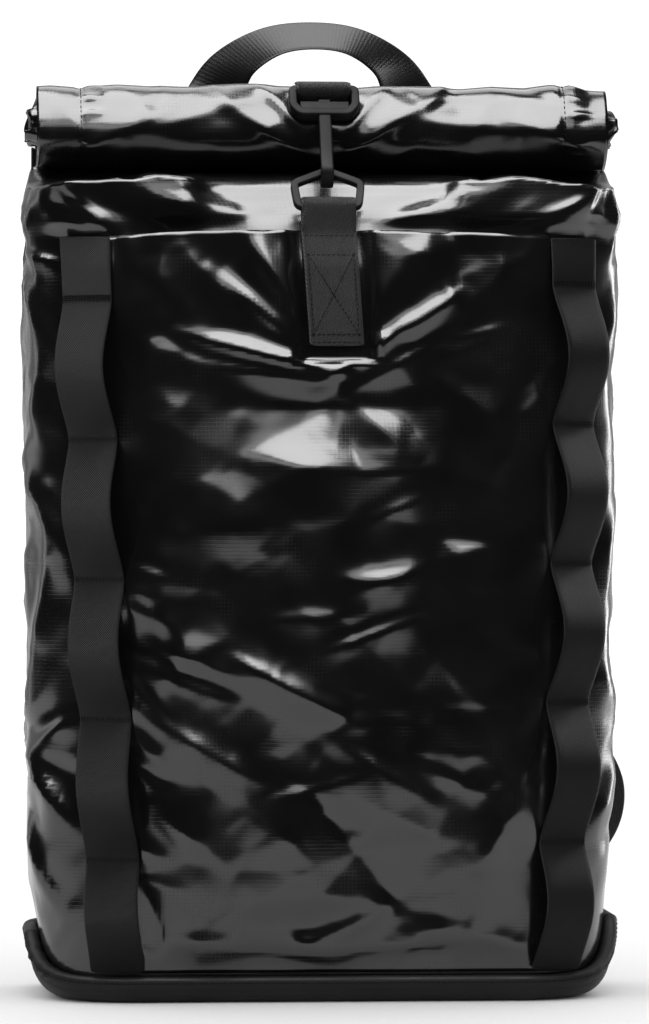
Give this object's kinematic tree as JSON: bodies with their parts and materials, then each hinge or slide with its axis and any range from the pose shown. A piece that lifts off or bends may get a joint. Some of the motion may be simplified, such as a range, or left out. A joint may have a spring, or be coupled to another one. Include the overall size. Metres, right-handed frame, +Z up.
{
  "type": "roll-top backpack",
  "caption": "Roll-top backpack of coated cloth: mouth rolled and hooked shut, front pocket, looped webbing, grab handle, padded back and shoulder straps",
  "frame": {"origin": "On the floor, in the middle of the base's flat underside", "axes": "+Z up through the roll to the handle, -Y out of the front with the pocket, +X to the viewer's right of the front"},
  "size_m": [0.3442, 0.2144, 0.5422],
  "materials": {
    "coated_cloth": "glossy black coated ripstop",
    "base_cloth": "matt black coated cloth",
    "webbing": "matt charcoal twill webbing",
    "hardware": "satin black coated metal",
    "padding": "matt black padded cloth"
  },
  "bodies": {
    "root": {"sack_wall": "coated_cloth", "rolled_mouth": "coated_cloth", "front_pocket": "coated_cloth", "base_panel": "base_cloth", "daisy_chain_left": "webbing", "daisy_chain_right": "webbing", "closure_tab": "webbing", "closure_strap": "webbing", "grab_handle": "webbing", "strap_tail_left": "webbing", "strap_tail_right": "webbing", "closure_ring": "hardware", "closure_hook": "hardware", "back_panel": "padding", "shoulder_pad_left": "padding", "shoulder_pad_right": "padding"}
  },
  "joints": []
}
